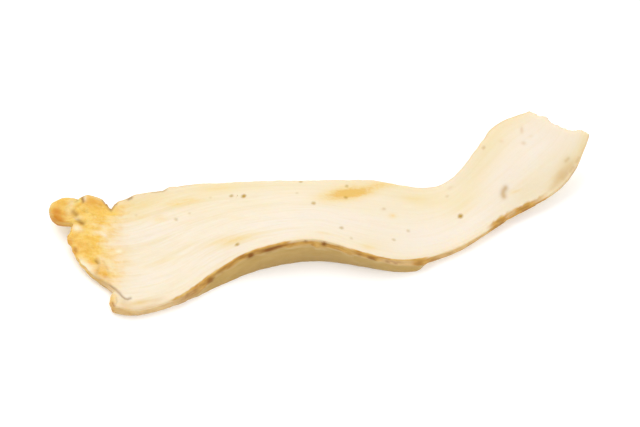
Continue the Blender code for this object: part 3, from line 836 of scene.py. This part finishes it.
    # the underside: the other cut, with stains of its own
    gold_low = 0.85 * np.exp(-left / 2.6) + 0.35 * blots(u, v, GOLD)
    stain_low = blots(along, spread, (
        (19.0, 9.4, 7.5, 0.8, 5, 0.40), (24.5, 8.2, 4.0, 1.2, -4, 0.34),
        (33.5, 4.0, 9.0, 0.5, -3, 0.30), (44.0, 2.6, 3.0, 0.7, 4, 0.30),
        (49.0, 10.8, 6.5, 0.7, 3, 0.52), (53.5, 9.9, 3.0, 0.5, -8, 0.40),
        (62.0, 6.0, 9.0, 0.4, 6, 0.24), (69.5, 3.4, 4.0, 0.9, 10, 0.36),
        (10.0, 3.6, 6.0, 0.6, 4, 0.34), (77.0, 10.0, 4.0, 0.6, -4, 0.30),
    ))
    stain_low += 0.45 * step(0.25, 0.85, rough(along / 7.5, spread / 1.3, 62)) * step(-0.3, 0.4, rough(along / 19, spread / 5, 63))
    warm_low = 0.35 + 0.75 * np.exp(-edge / 1.6) + 0.35 * rough(along / 9, spread / 3, 61)
    read["gold"][b_ids] = gold_low.ravel()
    read["stain"][b_ids] = stain_low.ravel()
    read["warm"][b_ids] = np.clip(warm_low, 0, 1.2).ravel()
    read["pale_and_lit"][b_ids] = 0.25
    read["skin"][b_ids] = (0.55 * np.exp(-near / 0.22) + 0.25 * np.exp(-far / 0.25)).ravel()
    read["wall"][b_ids] = (0.35 * np.exp(-near / 1.2) * step(1.2, 3.0, top[:, :1, 2] - bottom[:, :1, 2])).ravel()
    read["fibre"][b_ids] = 0.85
    spot, spotted = np.zeros(u.shape + (3,)), np.zeros_like(u)
    best = np.full_like(u, 1e9)
    for a0, b0, radius, strength in (
        (11.0, 8.4, 0.30, 0.6), (17.5, 3.2, 0.24, 0.4), (26.5, 11.2, 0.30, 0.7),
        (33.0, 5.0, 0.22, 0.4), (36.2, 6.1, 0.34, 0.8), (51.0, 3.6, 0.24, 0.5),
        (58.5, 9.8, 0.28, 0.5), (63.0, 8.9, 0.20, 0.4), (77.5, 5.4, 0.34, 0.7),
    ):
        where = np.argmin((along - a0) ** 2 + (spread - b0) ** 2)
        offset = (bottom - bottom.reshape(-1, 3)[where]) / radius
        d = np.linalg.norm(offset, axis=2)
        hit = d < best
        best[hit], spot[hit], spotted[hit] = d[hit], offset[hit], strength
    spotted[best > 3] = 0
    speck[b_ids] = spot.reshape(-1, 3)
    read["specked"][b_ids] = spotted.ravel()

    # the rim
    for m in range(k - 1):
        q = rows_q[m]
        ids_m = slice(2 * count + m * n, 2 * count + (m + 1) * n)
        down = q * tall
        strip[ids_m] = np.stack([along[loop_i, loop_j], spread[loop_i, loop_j], down], -1)
        brown = np.zeros(n)
        ragged = 0.5 * rough(run / 0.5, down / 0.3, 71)
        for u0, u1, d0, d1, strength in SIDE_MARKS:
            mid_u, mid_d = (u0 + u1) / 2, (d0 + d1) / 2
            x = (ring_u + ragged - mid_u) / ((u1 - u0) / 2)
            y = (down + 0.12 * ragged - mid_d) / ((d1 - d0) / 2)
            brown = np.maximum(brown, strength * np.exp(-((x**2 + y**2) ** 1.3) * 0.8))
        over = 0.14 * step(214.0, 226.0, ring_u) * step(264.0, 254.0, ring_u)
        low_edge = step(0.0, 0.22, down - over)
        low_edge = np.maximum(low_edge, turned[loop_i, loop_j])
        skin = on_near * low_edge * (1 - wallness * step(-0.25, 0.45, down - band))
        hidden = (1 - on_near) * (1 - on_cut) * (1 - on_torn)
        skin = skin + hidden * low_edge * (0.72 + 0.28 * rough(run / 6.0, down / 1.2, 57))
        skin = skin + 0.18 * on_torn + 0.10 * on_cut
        # past the wedge the rim is paler
        light = 0.62 * step(297.0, 304.0, ring_u) * step(327.0, 323.0, ring_u)
        light = light + step(349.0, 352.0, ring_u)
        light = light + 0.7 * step(275.0, 279.0, ring_u) * step(293.0, 290.0, ring_u)
        light = light + 0.8 * step(203.0, 186.0, ring_u)
        skin = skin * (1 - 0.42 * light * on_near)
        read["skin"][ids_m] = skin
        read["wall"][ids_m] = on_near * wallness * step(-0.35, 0.25, down - band)
        spots = step(0.30, 0.75, rough(run / 2.6, down / 0.8, 58)) * 0.45 * hidden * low_edge
        # brown marks down the near side, spots on the hidden rim, and the torn side darker towards the floor
        read["dark"][ids_m] = brown * on_near + spots + 0.35 * on_torn * step(0.55, 0.95, np.full(n, q)) * step(0.0, 0.5, rough(run / 1.3, 0.0, 73) + 0.3)
        belly = on_torn * step(149.5, 152.0, ring_u) * step(160.5, 158.5, ring_u)
        read["curl"][ids_m] = 0.55 * belly * (0.75 + 0.35 * rough(run / 0.8, down / 0.4, 72))
        read["gold"][ids_m] = np.clip(face["gold"][loop_i, loop_j], 0, 1) * (0.6 + 0.4 * on_torn)
        # deep orange from the face, more towards the bottom of the torn side
        read["deep"][ids_m] = 0.8 * face["deep"][loop_i, loop_j] + 0.45 * on_torn * step(0.35, 0.9, np.full(n, q))
        read["warm"][ids_m] = 0.8
        read["fibre"][ids_m] = 0.8
    return (points - solid_middle()), faces, corner, read, strip, speck


# ---- material ---------------------------------------------------------------
LEVEL = 0.80  # how bright the flesh is, against the tones as they are seen


def tone(red, green, blue):
    """A seen tone, 0 to 255, as a surface colour."""
    values = []
    for c in (red, green, blue):
        c /= 255
        c = c / 12.92 if c <= 0.04045 else ((c + 0.055) / 1.055) ** 2.4
        values.append(c * LEVEL)
    return (*values, 1.0)


class Nodes:
    """Short ways to lay a material's nodes."""

    def __init__(self, material):
        self.tree = material.node_tree
        self.column = 0

    def add(self, kind, **settings):
        node = self.tree.nodes.new(kind)
        self.column += 1
        node.location = (-200 * (self.column % 14), -180 * (self.column // 14))
        for name, value in settings.items():
            setattr(node, name, value)
        return node

    def put(self, socket, value):
        if isinstance(value, bpy.types.NodeSocket):
            self.tree.links.new(value, socket)
        else:
            socket.default_value = value

    def attribute(self, name, vector=False):
        node = self.add("ShaderNodeAttribute", attribute_name=name)
        return node.outputs["Vector" if vector else "Fac"]

    def math(self, operation, a, b=0.0, clamp=False):
        node = self.add("ShaderNodeMath", operation=operation, use_clamp=clamp)
        self.put(node.inputs[0], a)
        self.put(node.inputs[1], b)
        return node.outputs[0]

    def scaled(self, vector, by):
        node = self.add("ShaderNodeVectorMath", operation="MULTIPLY")
        self.put(node.inputs[0], vector)
        node.inputs[1].default_value = by
        return node.outputs[0]

    def noise(self, vector, by, detail=2.0, roughness=0.5, distortion=0.0):
        node = self.add("ShaderNodeTexNoise")
        self.put(node.inputs["Vector"], self.scaled(vector, by))
        node.inputs["Scale"].default_value = 1.0
        node.inputs["Detail"].default_value = detail
        node.inputs["Roughness"].default_value = roughness
        node.inputs["Distortion"].default_value = distortion
        return node.outputs["Fac"]

    def span(self, value, low, high, smooth=True):
        node = self.add("ShaderNodeMapRange")
        node.interpolation_type = "SMOOTHSTEP" if smooth else "LINEAR"
        node.clamp = True
        self.put(node.inputs["Value"], value)
        node.inputs["From Min"].default_value = low
        node.inputs["From Max"].default_value = high
        return node.outputs["Result"]

    def mix(self, a, b, factor):
        node = self.add("ShaderNodeMix", data_type="RGBA", clamp_factor=True)
        self.put(node.inputs[0], factor)
        self.put(node.inputs[6], a)
        self.put(node.inputs[7], b)
        return node.outputs[2]

    def ramp(self, value, stops):
        node = self.add("ShaderNodeValToRGB")
        self.put(node.inputs["Fac"], value)
        elements = node.color_ramp.elements
        for _ in range(len(stops) - 2):
            elements.new(0.5)
        for element, (place, colour) in zip(elements, stops):
            element.position = place
            element.color = colour
        return node.outputs["Color"]


def flesh_material():
    material = bpy.data.materials.new("dried_flesh_fine")
    material.use_nodes = True
    shader = material.node_tree.nodes["Principled BSDF"]
    n = Nodes(material)
    strip = n.attribute("strip", vector=True)
    broad = n.noise(strip, (0.16, 0.30, 0.5), 3.0, 0.55)
    bands = n.noise(strip, (0.055, 1.05, 1.0), 3.0, 0.55, 0.45)
    threads = n.noise(strip, (0.17, 2.7, 2.6), 3.0, 0.55, 0.5)
    grain = n.noise(strip, (2.4, 5.0, 5.0), 2.0, 0.6)
    patch = n.noise(strip, (0.55, 1.3, 1.6), 3.0, 0.6, 0.4)
    creases = n.noise(strip, (1.7, 3.4, 3.4), 3.0, 0.6, 0.6)
    fibre = n.attribute("fibre")

    # the cut face
    # paler patches: painted light where the face is lit, with a random paleness over all
    pale_and_lit = n.math("ADD", n.math("MULTIPLY", n.attribute("pale_and_lit"), 0.85), n.math("MULTIPLY", broad, 0.22))
    colour = n.mix(tone(251, 237, 212), tone(251, 239, 223), pale_and_lit)
    warm = n.math("MULTIPLY", n.attribute("warm"), n.math("ADD", n.math("MULTIPLY", bands, 0.9), 0.42))
    colour = n.mix(colour, tone(247, 230, 187), warm)
    lines = n.math("MULTIPLY", n.span(bands, 0.50, 0.70), n.math("MULTIPLY", fibre, 0.62))
    colour = n.mix(colour, tone(244, 225, 183), lines)
    lines = n.math("MULTIPLY", n.span(threads, 0.46, 0.68), n.math("MULTIPLY", fibre, 0.42))
    colour = n.mix(colour, tone(243, 225, 186), lines)
    lines = n.math("MULTIPLY", n.span(threads, 0.46, 0.30), n.math("MULTIPLY", fibre, 0.30))
    colour = n.mix(colour, tone(254, 245, 230), lines)
    # a faint mottle of cells
    colour = n.mix(colour, tone(239, 218, 184), n.math("MULTIPLY", n.span(grain, 0.56, 0.78), 0.22))

    # the torn end
    gold_mask = n.attribute("gold")
    streak = n.math("MULTIPLY", n.math("SUBTRACT", bands, 0.5), 1.1)
    streak = n.math("ADD", streak, n.math("MULTIPLY", n.math("SUBTRACT", patch, 0.5), 0.8))
    streak = n.math("MULTIPLY", streak, n.math("MINIMUM", n.math("MULTIPLY", gold_mask, 3.0), 1.0))
    gold = n.span(n.math("ADD", gold_mask, streak), 0.06, 1.0, smooth=False)
    gold_tone = n.ramp(patch, ((0.30, tone(255, 220, 126)), (0.52, tone(252, 207, 98)), (0.74, tone(244, 190, 72))))
    gold_tone = n.mix(gold_tone, tone(226, 170, 76), n.math("MULTIPLY", n.span(creases, 0.52, 0.72), 0.45))
    gold_tone = n.mix(gold_tone, tone(255, 228, 138), n.math("MULTIPLY", n.span(creases, 0.46, 0.28), 0.50))
    colour = n.mix(colour, gold_tone, gold)
    # deep orange, with painted shade on the knob's lower left side
    deep = n.math("MULTIPLY", n.attribute("deep"), n.math("ADD", n.math("MULTIPLY", patch, 0.9), 0.5))
    colour = n.mix(colour, tone(224, 150, 40), deep)

    # stains, streaked along the fibres
    uneven = n.math("ADD", n.math("MULTIPLY", bands, 0.8), n.math("ADD", creases, 0.05))
    stain = n.math("MULTIPLY", n.attribute("stain"), uneven)
    stain_tone = n.mix(tone(247, 213, 118), tone(242, 198, 108), n.span(stain, 0.35, 1.0))
    colour = n.mix(colour, stain_tone, stain)
    # tan spots, and painted shade on the near left lip and the right end's drooping edge
    colour = n.mix(colour, tone(222, 182, 122), n.attribute("tan_and_shade"))
    colour = n.mix(colour, tone(200, 156, 88), n.attribute("curl"))

    # the skin along the rim, and the side under it
    skin_noise = n.noise(strip, (0.45, 1.5, 1.6), 3.0, 0.6, 0.5)
    skin_tone = n.ramp(
        skin_noise,
        (
            (0.28, tone(184, 127, 46)),
            (0.42, tone(209, 157, 70)),
            (0.56, tone(221, 174, 88)),
            (0.72, tone(231, 191, 111)),
        ),
    )
    colour = n.mix(colour, skin_tone, n.attribute("skin"))
    side_noise = n.noise(strip, (0.30, 0.9, 0.7), 3.0, 0.55)
    side_tone = n.ramp(side_noise, ((0.30, tone(198, 162, 89)), (0.70, tone(209, 175, 106))))
    # painted shade: the near side darker towards the floor
    height = n.add("ShaderNodeSeparateXYZ")
    n.put(height.inputs[0], strip)
    side_tone = n.mix(side_tone, tone(188, 153, 87), n.math("MULTIPLY", n.span(height.outputs[2], 1.2, 5.0, smooth=False), 0.85))
    colour = n.mix(colour, side_tone, n.attribute("wall"))
    # pale flecks, and painted highlights where the torn end's lumps face the light
    colour = n.mix(colour, tone(255, 245, 216), n.attribute("flecks_and_highlights"))

    # cracks, creases, brown marks and spots, and the torn side darker towards the floor
    dark = n.math("MULTIPLY", n.attribute("dark"), n.math("ADD", n.math("MULTIPLY", skin_noise, 0.7), 0.65))
    colour = n.mix(colour, tone(146, 90, 18), dark)
    # specks
    speck = n.attribute("speck", vector=True)
    length = n.add("ShaderNodeVectorMath", operation="LENGTH")
    n.put(length.inputs[0], speck)
    distance = n.math("ADD", length.outputs["Value"], n.math("MULTIPLY", n.math("SUBTRACT", grain, 0.5), 1.1))
    spot = n.math("MULTIPLY", n.span(distance, 1.75, 0.2), n.attribute("specked"))
    colour = n.mix(colour, tone(186, 144, 8), spot)
    n.put(shader.inputs["Base Color"], colour)

    rough_value = n.math("ADD", n.math("MULTIPLY", threads, 0.18), 0.40)
    rough_value = n.math("ADD", rough_value, n.math("MULTIPLY", n.attribute("skin"), 0.12))
    rough_value = n.math("SUBTRACT", rough_value, n.math("MULTIPLY", gold, 0.06), clamp=True)
    n.put(shader.inputs["Roughness"], rough_value)

    height = n.math("MULTIPLY", threads, n.math("ADD", n.math("MULTIPLY", fibre, 0.8), 0.2))
    height = n.math("ADD", height, n.math("MULTIPLY", grain, 0.35))
    height = n.math("ADD", height, n.math("MULTIPLY", n.math("MULTIPLY", patch, gold), 1.2))
    height = n.math("ADD", height, n.math("MULTIPLY", n.math("MULTIPLY", creases, gold), 1.6))
    height = n.math("ADD", height, n.math("MULTIPLY", n.math("MULTIPLY", skin_noise, n.attribute("skin")), 1.5))
    bump = n.add("ShaderNodeBump")
    bump.inputs["Strength"].default_value = 0.8
    bump.inputs["Distance"].default_value = 0.00006
    n.put(bump.inputs["Height"], height)
    n.put(shader.inputs["Normal"], bump.outputs["Normal"])

    shader.inputs["Metallic"].default_value = 0.0
    shader.inputs["IOR"].default_value = 1.45
    shader.inputs["Specular IOR Level"].default_value = 0.3
    shader.inputs["Subsurface Weight"].default_value = 0.35
    shader.inputs["Subsurface Radius"].default_value = (1.0, 0.55, 0.25)
    shader.inputs["Subsurface Scale"].default_value = 0.0010
    return material


def make_piece():
    points, faces, corner, read, strip, speck = fine_slice()
    mesh = bpy.data.meshes.new("rhizome_slice_fine")
    mesh.from_pydata((points * 0.001).tolist(), [], faces.tolist())
    layer = mesh.uv_layers.new(name="OFBake")
    layer.data.foreach_set("uv", corner.astype(np.float32).ravel())
    for name, value in read.items():
        attribute = mesh.attributes.new(name, "FLOAT", "POINT")
        attribute.data.foreach_set("value", np.clip(value, 0, 1.5).astype(np.float32))
    for name, value in (("strip", strip), ("speck", speck)):
        attribute = mesh.attributes.new(name, "FLOAT_VECTOR", "POINT")
        attribute.data.foreach_set("vector", value.astype(np.float32).ravel())
    mesh.materials.append(flesh_material())
    mesh.shade_smooth()
    mesh.update()
    piece = bpy.data.objects.new("rhizome_slice_fine", mesh)
    bpy.context.scene.collection.objects.link(piece)
    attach(piece, "root")
    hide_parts("rhizome_slice")
    return piece


# ---- floor, light and camera ------------------------------------------------
def make_stage():
    floor = bpy.data.meshes.new("floor")
    floor.from_pydata([(-1, -1, 0), (1, -1, 0), (1, 1, 0), (-1, 1, 0)], [], [(0, 1, 2, 3)])
    material = bpy.data.materials.new("pale_floor")
    material.use_nodes = True
    shader = material.node_tree.nodes["Principled BSDF"]
    shader.inputs["Base Color"].default_value = (0.93, 0.93, 0.93, 1.0)
    shader.inputs["Roughness"].default_value = 0.8
    shader.inputs["Specular IOR Level"].default_value = 0.2
    shader.inputs["Emission Color"].default_value = (1.0, 1.0, 1.0, 1.0)
    shader.inputs["Emission Strength"].default_value = 0.15
    floor.materials.append(material)
    stage = bpy.data.objects.new("floor", floor)
    stage.location = (0, 0, -0.00002)
    bpy.context.scene.collection.objects.link(stage)


def area_light(name, place, target, size, power, colour=(1.0, 1.0, 1.0)):
    light = bpy.data.lights.new(name, "AREA")
    light.shape = "SQUARE"
    light.size = size
    light.energy = power
    light.color = colour
    lamp = bpy.data.objects.new(name, light)
    lamp.location = place
    back = np.array(place, float) - np.array(target, float)
    back /= np.linalg.norm(back)
    side = np.cross((0.0, 0.0, 1.0), back)
    side /= np.linalg.norm(side)
    rise = np.cross(back, side)
    from mathutils import Matrix

    lamp.rotation_euler = Matrix((side, rise, back)).transposed().to_euler()
    bpy.context.scene.collection.objects.link(lamp)


def make_light():
    world = bpy.data.worlds.new("soft_room")
    world.use_nodes = True
    background = world.node_tree.nodes["Background"]
    background.inputs["Color"].default_value = (1.0, 1.0, 1.0, 1.0)
    background.inputs["Strength"].default_value = 0.78
    bpy.context.scene.world = world
    area_light("key", (-0.20, 0.26, 0.57), (0, 0, 0), 0.55, 2.10)
    area_light("fill", (0.32, -0.28, 0.44), (0, 0, 0), 0.50, 0.90)
    bpy.context.scene.view_settings.view_transform = "Standard"


def make_camera(origin):
    target = np.array([0.25, -2.1, 3.0]) - origin
    target *= 0.001
    distance, field = 0.9, 0.098
    camera = bpy.data.cameras.new("view")
    camera.sensor_fit = "HORIZONTAL"
    camera.sensor_width = 36.0
    camera.lens = 36.0 * distance / field
    camera.clip_start, camera.clip_end = 0.01, 10.0
    eye = bpy.data.objects.new("view", camera)
    eye.location = target + distance * np.array([0.0, -math.cos(LOOK), math.sin(LOOK)])
    eye.rotation_euler = (math.radians(90) - LOOK, 0.0, 0.0)
    bpy.context.scene.collection.objects.link(eye)
    bpy.context.scene.camera = eye


make_camera(solid_middle())
make_piece()
make_stage()
make_light()
